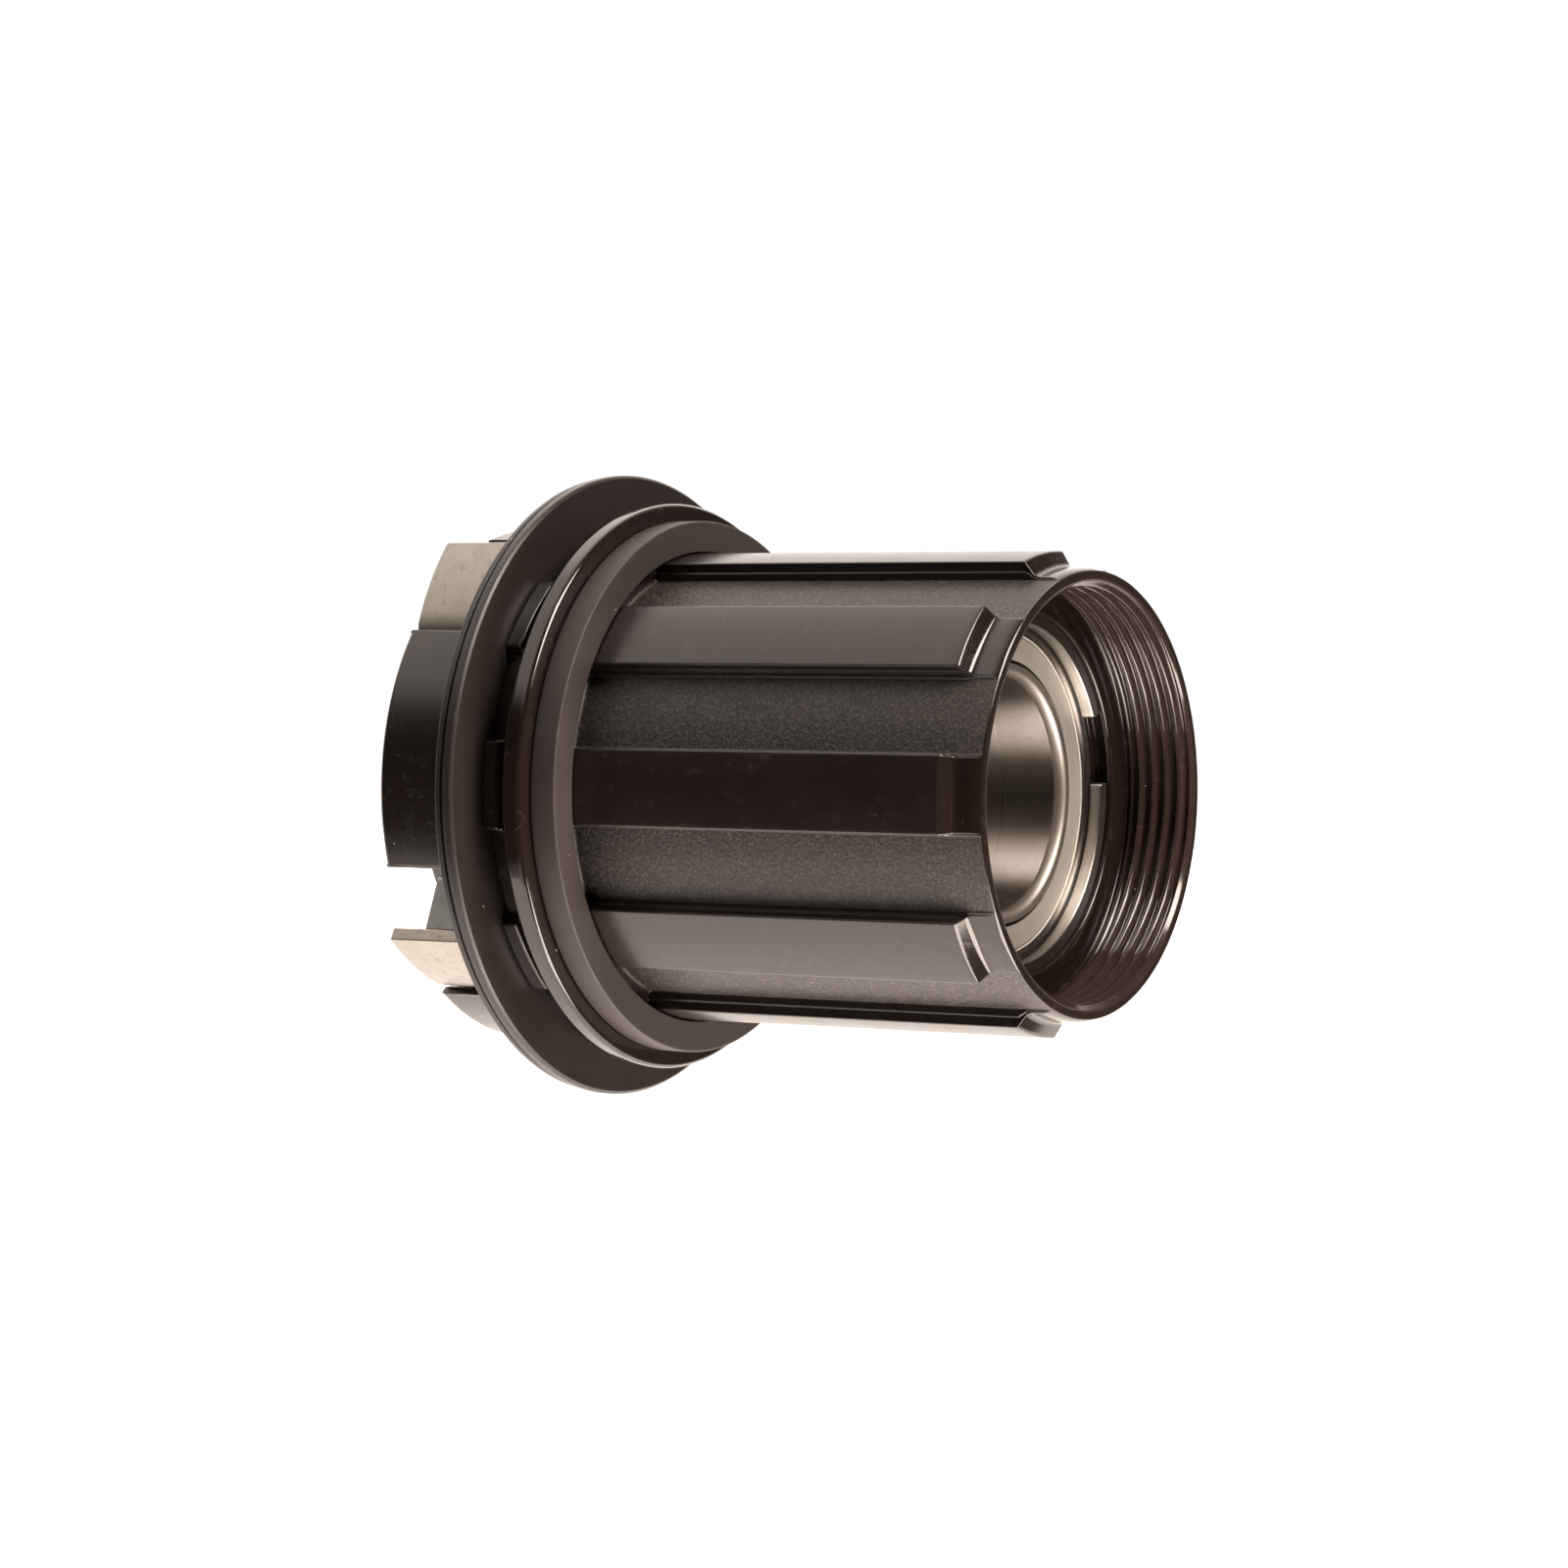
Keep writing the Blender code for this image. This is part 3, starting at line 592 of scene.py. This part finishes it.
def pawl_outline():
    """A pawl about its pivot, sprung out to rest."""
    reach = PAWL_REACH
    lift = PAWL_FLUSH_RADIUS**2 - PIVOT_RADIUS**2 - reach**2
    flush = math.asin(lift / (2.0 * PIVOT_RADIUS * reach))
    tip = reach * math.cos(flush)
    points = []
    for index in range(9):
        x = 0.3 + (tip - 0.3) * index / 8.0
        y = math.sqrt(PAWL_FLUSH_RADIUS**2 - x**2) - PIVOT_RADIUS
        points.append((x, y, 0.12 if index == 8 else 0.0))
    points.append((tip - 0.12, points[-1][1] - 0.95, 0.14))
    points.append((4.0, -0.95, 0.5))
    points += arc((0.0, 0.0), HEEL_RADIUS, -40.0, -262.0, 30)
    points = rounded(points, 4)
    angle = math.radians(PAWL_TRAVEL)
    x = points[:, 0] * math.cos(angle) - points[:, 1] * math.sin(angle)
    y = points[:, 0] * math.sin(angle) + points[:, 1] * math.cos(angle)
    return np.stack([x, y], axis=1)


def spring_outline():
    """A folded leaf under a pawl: foot on the pocket floor, leg up to the pawl."""
    half = 0.125
    fold = 0.5
    foot = 3.4
    centre = (5.32, -3.03)
    start, end = -103.9, 18.4
    top = (4.6, 0.72)
    normal = (math.cos(math.radians(end)), math.sin(math.radians(end)))
    below = (math.cos(math.radians(start)), math.sin(math.radians(start)))
    heel = (
        centre[0] + below[0] * fold + below[1] * foot,
        centre[1] + below[1] * fold - below[0] * foot,
    )
    points = [(heel[0] + below[0] * half, heel[1] + below[1] * half, 0.08)]
    points += arc(centre, fold + half, start, end, 18)
    points.append((top[0] + normal[0] * half, top[1] + normal[1] * half, 0.08))
    points.append((top[0] - normal[0] * half, top[1] - normal[1] * half, 0.08))
    points += arc(centre, fold - half, end, start, 18)
    points.append((heel[0] - below[0] * half, heel[1] - below[1] * half, 0.08))
    return rounded(points, 3)


def make_pawls(looks):
    bodies = ("pawl_one", "pawl_two", "pawl_three", "pawl_four")
    middle = (PAWL_START + PAWL_END) / 2.0
    for index, body in enumerate(bodies):
        angle = PIVOT_ANGLE + index * 360.0 / PAWL_COUNT
        loop = from_pivot(pawl_outline(), angle)
        mesh = prism(f"pawl_{index + 1}_finished", loop, PAWL_START, PAWL_END, 0.1)
        add_piece(mesh, body, looks["pawl"], [f"pawl_{index + 1}"])
        loop = from_pivot(spring_outline(), angle)
        name = f"pawl_spring_{index + 1}"
        mesh = prism(name + "_finished", loop, middle - 2.3, middle + 2.3, 0.05, 2)
        spring = add_piece(mesh, "driver", looks["spring"], [name])
        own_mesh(spring)


# ---------------------------------------------------------------- materials


class Look:
    """A material and short calls for the nodes its finish is made of."""

    def __init__(self, name):
        self.material = bpy.data.materials.new(name)
        self.material.use_nodes = True
        self.tree = self.material.node_tree
        self.shader = self.tree.nodes["Principled BSDF"]
        coords = self.add("TexCoord").outputs["Object"]
        self.place = self.add("VectorMath", {0: coords, 3: 1000.0}, operation="SCALE").outputs[0]
        parts = self.add("SeparateXYZ", {0: self.place})
        across = self.math("MULTIPLY", parts.outputs[0], parts.outputs[0])
        up = self.math("MULTIPLY", parts.outputs[2], parts.outputs[2])
        self.radius = self.math("SQRT", self.math("ADD", across, up))
        self.along = parts.outputs[1]
        self.height = None

    def add(self, kind, inputs=None, **settings):
        node = self.tree.nodes.new("ShaderNode" + kind)
        for key, value in settings.items():
            setattr(node, key, value)
        for key, value in (inputs or {}).items():
            self.feed(node.inputs[key], value)
        return node

    def feed(self, socket, value):
        if isinstance(value, bpy.types.NodeSocket):
            self.tree.links.new(value, socket)
        elif socket.type == "RGBA":
            socket.default_value = (*value, 1.0)
        else:
            socket.default_value = value

    def math(self, operation, first, second=0.0):
        return self.add("Math", {0: first, 1: second}, operation=operation).outputs[0]

    def ramp(self, value, low, high, start=0.0, end=1.0):
        inputs = {0: value, 1: low, 2: high, 3: start, 4: end}
        return self.add("MapRange", inputs, interpolation_type="SMOOTHSTEP").outputs[0]

    def mix(self, share, first, second):
        return self.add("Mix", {0: share, 2: first, 3: second}, data_type="FLOAT").outputs[0]

    def tint(self, share, first, second):
        return self.add("Mix", {0: share, 6: first, 7: second}, data_type="RGBA").outputs[2]

    def noise(self, scale, detail=3.0, vector=None, roughness=0.55):
        place = vector or self.place
        inputs = {"Vector": place, "Scale": scale, "Detail": detail, "Roughness": roughness}
        return self.add("TexNoise", inputs).outputs[0]

    def lathe_lines(self, scale):
        """Fine rings left by turning: they follow the radius on faces and the axle on sides."""
        vector = self.add("CombineXYZ", {0: self.radius, 1: self.along}).outputs[0]
        return self.noise(scale, 4.0, vector, 0.7)

    def specks(self, scale, share, size):
        """Sparse bright dust."""
        cells = self.add("TexVoronoi", {"Vector": self.place, "Scale": scale})
        picked = self.add("SeparateColor", {0: cells.outputs["Color"]}).outputs[0]
        chosen = self.math("GREATER_THAN", picked, 1.0 - share)
        near = self.math("LESS_THAN", cells.outputs["Distance"], size)
        return self.math("MULTIPLY", chosen, near)

    def scratches(self, scale, width):
        """Thin stray lines with uneven strength."""
        bent = self.noise(0.4, 2.0)
        inputs = {"Vector": self.place, "Angle": bent}
        place = self.add("VectorRotate", inputs, rotation_type="Z_AXIS").outputs[0]
        inputs = {0: place, 1: (1.0, 0.08, 0.6)}
        stretch = self.add("VectorMath", inputs, operation="MULTIPLY").outputs[0]
        lines = self.noise(scale, 1.0, stretch)
        near = self.math("ABSOLUTE", self.math("SUBTRACT", lines, 0.5))
        thin = self.ramp(near, 0.0, width, 1.0, 0.0)
        return self.math("MULTIPLY", thin, self.ramp(self.noise(0.9, 3.0), 0.5, 0.65))

    def worn_edge(self, scale):
        """Near 1 in patches along outer edges, where a finish rubs off."""
        edge = self.add("Attribute", attribute_name="edge").outputs["Fac"]
        patches = self.ramp(self.noise(scale, 4.0, roughness=0.7), 0.36, 0.66)
        return self.math("MULTIPLY", self.ramp(edge, 0.35, 1.0), patches)

    def between(self, inner, outer):
        """1 between two radii, otherwise 0."""
        past = self.math("GREATER_THAN", self.radius, inner)
        return self.math("MULTIPLY", past, self.math("LESS_THAN", self.radius, outer))

    def relief(self, value, depth):
        """Add a relief of this depth, in millimetres, to the surface."""
        amount = self.math("MULTIPLY", value, depth)
        self.height = amount if self.height is None else self.math("ADD", self.height, amount)

    def finish(self, colour, roughness, metallic, ior=1.5, aniso=0.0):
        shader = self.shader.inputs
        self.feed(shader["Base Color"], colour)
        self.feed(shader["Roughness"], roughness)
        self.feed(shader["Metallic"], metallic)
        self.feed(shader["IOR"], ior)
        if self.height is not None:
            inputs = {"Height": self.height, "Distance": MM, "Strength": 1.0}
            self.feed(shader["Normal"], self.add("Bump", inputs).outputs[0])
        if aniso:
            self.feed(shader["Anisotropic"], aniso)
            self.feed(shader["Anisotropic Rotation"], 0.25)
            tangent = self.add("Tangent", direction_type="RADIAL", axis="Y")
            self.feed(shader["Tangent"], tangent.outputs[0])
        return self.material


def anodised_look():
    """Black anodised alloy: satin lands, grained valleys, glossy shoulder, collar and thread."""
    look = Look("black_anodised_alloy")
    gloss = look.add("Attribute", attribute_name="gloss").outputs["Fac"]
    grain = look.add("Attribute", attribute_name="grain").outputs["Fac"]
    matt = look.math("SUBTRACT", 1.0, gloss)
    cloud = look.noise(0.22, 3.0)
    fine = look.noise(5.5, 2.0)
    pits = look.noise(4.2, 3.0, roughness=0.7)
    inside = look.math("LESS_THAN", look.radius, THREAD_MAJOR + 0.1)
    before = look.math("LESS_THAN", look.along, THREAD_END - HALF_LENGTH)
    thread = look.math("MULTIPLY", inside, before)
    rub = look.math("MULTIPLY", look.worn_edge(0.7), look.math("SUBTRACT", 1.0, thread))
    burr = look.math("MULTIPLY", look.specks(1.4, 0.05, 0.12), thread)
    smudge = look.ramp(look.noise(0.6, 5.0, roughness=0.65), 0.52, 0.78)
    scuffs = look.scratches(0.9, 0.035)
    dust = look.specks(0.75, 0.12, 0.045)

    colour = look.tint(cloud, (0.0105, 0.0062, 0.0048), (0.018, 0.0112, 0.0088))
    colour = look.tint(look.math("MULTIPLY", grain, 0.7), colour, (0.023, 0.017, 0.0145))
    speckle = look.math("MULTIPLY", grain, look.ramp(pits, 0.45, 0.66))
    colour = look.tint(look.math("MULTIPLY", speckle, 0.6), colour, (0.11, 0.094, 0.083))
    # The thread is tinted a lighter warm brown than the rest of the body.
    thread_tone = look.tint(cloud, (0.026, 0.0155, 0.0125), (0.04, 0.025, 0.02))
    colour = look.tint(thread, colour, thread_tone)
    colour = look.tint(burr, colour, (0.75, 0.7, 0.64))
    colour = look.tint(look.math("MULTIPLY", rub, 0.1), colour, (0.2, 0.172, 0.15))
    colour = look.tint(look.math("MULTIPLY", scuffs, 0.1), colour, (0.2, 0.175, 0.155))
    colour = look.tint(dust, colour, (0.62, 0.58, 0.52))

    satin = look.mix(cloud, 0.26, 0.32)
    satin = look.math("ADD", satin, look.math("MULTIPLY", smudge, 0.06))
    rough = look.mix(grain, satin, 0.5)
    polish = look.math("MULTIPLY", gloss, look.math("SUBTRACT", 1.0, grain))
    rough = look.mix(polish, rough, look.mix(cloud, 0.07, 0.11))
    rough = look.math("ADD", rough, look.math("MULTIPLY", look.math("ADD", rub, scuffs), 0.08))
    rough = look.mix(dust, rough, 0.7)

    look.relief(look.math("MULTIPLY", pits, grain), 0.075)
    look.relief(look.math("MULTIPLY", fine, matt), 0.0014)
    look.relief(look.math("MULTIPLY", look.lathe_lines(5.0), matt), 0.0006)
    look.relief(look.noise(1.2, 2.0), 0.0012)
    look.feed(look.shader.inputs["Specular Tint"], (1.0, 0.97, 0.95))
    return look.finish(colour, rough, 0.0, 1.62)


def matt_look(name, dark, light, roughness, ior, relief, turning):
    """Dark matt surface with cloudy colour, a fine tooth and a few specks of dust."""
    look = Look(name)
    cloud = look.noise(0.35, 4.0)
    tooth = look.noise(6.5, 4.0, roughness=0.7)
    rub = look.worn_edge(0.8)
    dust = look.specks(0.9, 0.14, 0.05)
    colour = look.tint(cloud, dark, light)
    toothed = look.math("MULTIPLY", look.ramp(tooth, 0.5, 0.8), 0.35)
    colour = look.tint(toothed, colour, tuple(2.0 * c for c in light))
    colour = look.tint(look.math("MULTIPLY", rub, 0.2), colour, (0.16, 0.14, 0.125))
    colour = look.tint(dust, colour, (0.6, 0.56, 0.5))
    rough = look.math("ADD", roughness, look.math("MULTIPLY", cloud, 0.1))
    look.relief(tooth, relief)
    look.relief(look.lathe_lines(6.0), turning)
    return look.finish(colour, rough, 0.0, ior)


def steel_look(name, dark, light, roughness, turning, aniso, stain=0.25, painted_shade=(), dull_with_painted_highlight=None):
    """Bare steel: turned or ground lines, uneven polish and a light oil stain.

    Each span of radii in grime is painted dark, as painted shade in the gaps and grooves between
    parts and on the circlip's face.
    The metal between the two radii of dull is rougher, with no direction to its polish, and painted
    paler as a painted highlight.
    """
    look = Look(name)
    cloud = look.noise(0.5, 4.0)
    lines = look.lathe_lines(6.0)
    streak = look.ramp(lines, 0.35, 0.7)
    blotch = look.ramp(look.noise(1.3, 5.0, roughness=0.7), 0.5, 0.75)
    rub = look.worn_edge(1.1)
    colour = look.tint(cloud, dark, light)
    bright = tuple(min(1.0, 1.2 * c) for c in light)
    colour = look.tint(look.math("MULTIPLY", streak, 0.25), colour, bright)
    colour = look.tint(look.math("MULTIPLY", blotch, stain), colour, tuple(0.62 * c for c in dark))
    colour = look.tint(look.math("MULTIPLY", rub, 0.35), colour, bright)
    rough = look.mix(lines, roughness * 0.85, roughness * 1.2)
    rough = look.math("ADD", rough, look.math("MULTIPLY", blotch, 0.06))
    metal = 1.0
    # The paler colour on this span is a painted highlight; its higher roughness and lost direction
    # are the finish.
    if dull_with_painted_highlight:
        span = look.between(*dull_with_painted_highlight)
        colour = look.tint(span, colour, look.tint(cloud, (0.36, 0.32, 0.29), (0.48, 0.435, 0.4)))
        rough = look.mix(span, rough, look.mix(lines, 0.4, 0.54))
        aniso = look.mix(span, aniso, 0.0)
    # Painted shade: each span is coloured dark and made non-metallic where shade falls between
    # parts.
    for radii in painted_shade:
        span = look.between(*radii)
        shade_colour = look.tint(blotch, (0.022, 0.015, 0.012), (0.045, 0.033, 0.027))
        colour = look.tint(span, colour, shade_colour)
        rough = look.mix(span, rough, 0.45)
        metal = look.math("MULTIPLY", metal, look.math("SUBTRACT", 1.0, span))
    look.relief(lines, turning)
    look.relief(look.noise(3.0, 3.0), turning * 0.6)
    return look.finish(colour, rough, metal, 1.5, aniso)


def make_looks():
    spacer = ((0.038, 0.029, 0.0255), (0.052, 0.042, 0.037))
    seal = ((0.018, 0.0125, 0.0105), (0.026, 0.019, 0.0165))
    pawl = ((0.3, 0.27, 0.24), (0.42, 0.385, 0.35))
    spring = ((0.2, 0.2, 0.205), (0.3, 0.295, 0.29))
    clip = ((0.36, 0.33, 0.3), (0.5, 0.47, 0.44))
    ground = ((0.27, 0.232, 0.205), (0.38, 0.342, 0.312))
    shield = ((0.58, 0.545, 0.49), (0.7, 0.665, 0.605))
    cage = ((0.42, 0.39, 0.35), (0.56, 0.52, 0.47))
    ball = ((0.6, 0.59, 0.58), (0.7, 0.69, 0.68))
    # Painted shade on the inner ring beside the shield gap, and on the outer ring's face shadowed
    # by the circlip.
    ring_painted_shade = ((9.37, 11.72), (11.98, 12.88))
    # Painted highlight: the inner ring's rounded face is painted paler.
    ring_dull_with_painted_highlight = (8.51, 9.37)
    # Painted shade on the shield's inner edge and in its groove, and on the circlip's face outside
    # its inner wall.
    shield_painted_shade = ((9.0, 9.61), (11.365, 11.455))
    clip_painted_shade = ((12.27, 14.0),)
    return {
        "body": anodised_look(),
        "spacer": matt_look("matt_spacer", *spacer, 0.48, 1.5, 0.006, 0.001),
        "seal": matt_look("seal_polymer", *seal, 0.34, 1.52, 0.004, 0.0015),
        "pawl": steel_look("pawl_steel", *pawl, 0.42, 0.002, 0.0, 0.5),
        "spring": steel_look("spring_steel", *spring, 0.32, 0.001, 0.0),
        "clip": steel_look("circlip_steel", *clip, 0.36, 0.0008, 0.9, 0.2, clip_painted_shade),
        "tube": steel_look("tube_steel", *ground, 0.43, 0.0002, 1.0),
        "bearing": steel_look(
            "bearing_steel", *ground, 0.43, 0.0002, 1.0, 0.25, ring_painted_shade, ring_dull_with_painted_highlight
        ),
        "shield": steel_look("shield_steel", *shield, 0.6, 0.001, 0.0, 0.12, shield_painted_shade),
        "cage": steel_look("cage_steel", *cage, 0.35, 0.002, 0.0),
        "ball": steel_look("ball_steel", *ball, 0.06, 0.0001, 0.0, 0.05),
    }


# ---------------------------------------------------------------- studio


CAMERA_AZIMUTH = -57.797
CAMERA_ELEVATION = 0.558
CAMERA_ROLL = 0.886
CAMERA_DISTANCE = 0.364
CAMERA_TARGET = (-0.00085, 0.00111, 0.00034)
CAMERA_LENS = 114.0
FLOOR_HEIGHT = -0.15
FLOOR_EDGES = (-0.2, -0.1)
FLOOR_GLOW = 1.2
LIGHT_COLOUR = (1.0, 0.9, 0.82)
WORLD_BACK = 2.2
WORLD_TOP = 1.45
WORLD_FRONT = 0.03
WORLD_DARK = 0.012
SEEN_WHITE = 1.05

# Directions, as parts of a unit vector, between which the surroundings change.
BACK_FADE = (-0.4, 0.3)
TOP_FADE = (0.4, 0.58)
FRONT_FADE = (-0.35, 0.35)

FLOOR_FAR = 6.0

# Name, position, size and watts of each softbox, which faces the origin.
SOFTBOXES = [
    ("high_softbox", (-0.055, -0.32, 0.315), (0.18, 0.28), 2.9),
    ("low_softbox", (-0.022, -0.1, -0.1), (0.075, 0.095), 0.29),
]


def make_camera():
    camera = bpy.data.cameras.new("camera")
    camera.lens = CAMERA_LENS
    camera.sensor_width = 36.0
    camera.clip_start = 0.01
    holder = bpy.data.objects.new("camera", camera)
    bpy.context.scene.collection.objects.link(holder)
    azimuth = math.radians(CAMERA_AZIMUTH)
    elevation = math.radians(CAMERA_ELEVATION)
    back = Vector((
        math.sin(azimuth) * math.cos(elevation),
        -math.cos(azimuth) * math.cos(elevation),
        math.sin(elevation),
    ))
    right = Vector((0.0, 0.0, 1.0)).cross(back).normalized()
    up = back.cross(right)
    roll = Matrix.Rotation(math.radians(CAMERA_ROLL), 3, "Z")
    turn = Matrix((right, up, back)).transposed() @ roll
    place = Vector(CAMERA_TARGET) + back * CAMERA_DISTANCE
    holder.matrix_world = Matrix.Translation(place) @ turn.to_4x4()
    bpy.context.scene.camera = holder


def make_world():
    """White surroundings for the camera; for reflections, dark on the camera's side."""
    world = bpy.data.worlds.new("studio")
    bpy.context.scene.world = world
    world.use_nodes = True
    tree = world.node_tree
    tree.nodes.clear()

    def add(kind, inputs=None, **settings):
        node = tree.nodes.new("ShaderNode" + kind)
        for key, value in settings.items():
            setattr(node, key, value)
        for key, value in (inputs or {}).items():
            if isinstance(value, bpy.types.NodeSocket):
                tree.links.new(value, node.inputs[key])
            else:
                node.inputs[key].default_value = value
        return node

    direction = add("TexCoord").outputs["Generated"]
    parts = add("SeparateXYZ", {0: direction})
    rise = add("Math", {0: parts.outputs[2]}, operation="ABSOLUTE").outputs[0]
    smooth = {"interpolation_type": "SMOOTHSTEP"}

    def fade(value, low_high, start, end):
        inputs = {0: value, 1: low_high[0], 2: low_high[1], 3: start, 4: end}
        return add("MapRange", inputs, **smooth).outputs[0]

    past = fade(parts.outputs[0], BACK_FADE, 0.0, WORLD_BACK)
    over = fade(rise, TOP_FADE, 0.0, WORLD_TOP)
    lights = add("Math", {0: past, 1: over}, operation="MAXIMUM").outputs[0]
    behind = fade(parts.outputs[1], FRONT_FADE, WORLD_FRONT, 1.0)
    level = add("Math", {0: lights, 1: behind}, operation="MULTIPLY").outputs[0]
    level = add("Math", {0: level, 1: WORLD_DARK}, operation="ADD").outputs[0]
    lit = add("Background", {"Color": (*LIGHT_COLOUR, 1.0), "Strength": level})
    seen = add("Background", {"Color": (1.0, 1.0, 1.0, 1.0), "Strength": SEEN_WHITE})
    camera_ray = add("LightPath").outputs["Is Camera Ray"]
    mixed = add("MixShader", {0: camera_ray, 1: lit.outputs[0], 2: seen.outputs[0]})
    add("OutputWorld", {0: mixed.outputs[0]})


def make_floor():
    mesh = bpy.data.meshes.new("floor")
    left, front = FLOOR_EDGES
    far = FLOOR_FAR
    corners = [(left, front, 0.0), (far, front, 0.0), (far, far, 0.0), (left, far, 0.0)]
    mesh.from_pydata(corners, [], [(0, 1, 2, 3)])
    floor = bpy.data.objects.new("floor", mesh)
    floor.location.z = FLOOR_HEIGHT
    bpy.context.scene.collection.objects.link(floor)
    material = bpy.data.materials.new("pale_floor")
    material.use_nodes = True
    shader = material.node_tree.nodes["Principled BSDF"].inputs
    shader["Base Color"].default_value = (0.9, 0.89, 0.88, 1.0)
    shader["Roughness"].default_value = 0.8
    shader["Specular IOR Level"].default_value = 0.2
    shader["Emission Color"].default_value = (*LIGHT_COLOUR, 1.0)
    shader["Emission Strength"].default_value = FLOOR_GLOW
    mesh.materials.append(material)


def make_light(name, position, size, watts):
    light = bpy.data.lights.new(name, "AREA")
    light.shape = "RECTANGLE"
    light.size, light.size_y = size
    light.energy = watts
    light.color = LIGHT_COLOUR
    holder = bpy.data.objects.new(name, light)
    holder.location = position
    holder.rotation_euler = Vector(position).to_track_quat("Z", "Y").to_euler()
    bpy.context.scene.collection.objects.link(holder)
    holder.visible_camera = False


looks = make_looks()
make_body(looks["body"])
make_rings(looks)
make_circlip(looks["clip"])
make_bearing("outboard", OUTBOARD_BEARING, looks)
make_bearing("inboard", INBOARD_BEARING, looks)
make_pawls(looks)
for cage in ("outboard_cage", "inboard_cage"):
    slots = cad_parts[cage].data.materials
    slots.clear()
    slots.append(looks["cage"])

make_camera()
make_world()
make_floor()
for softbox in SOFTBOXES:
    make_light(*softbox)

bpy.context.scene.view_settings.view_transform = "Standard"
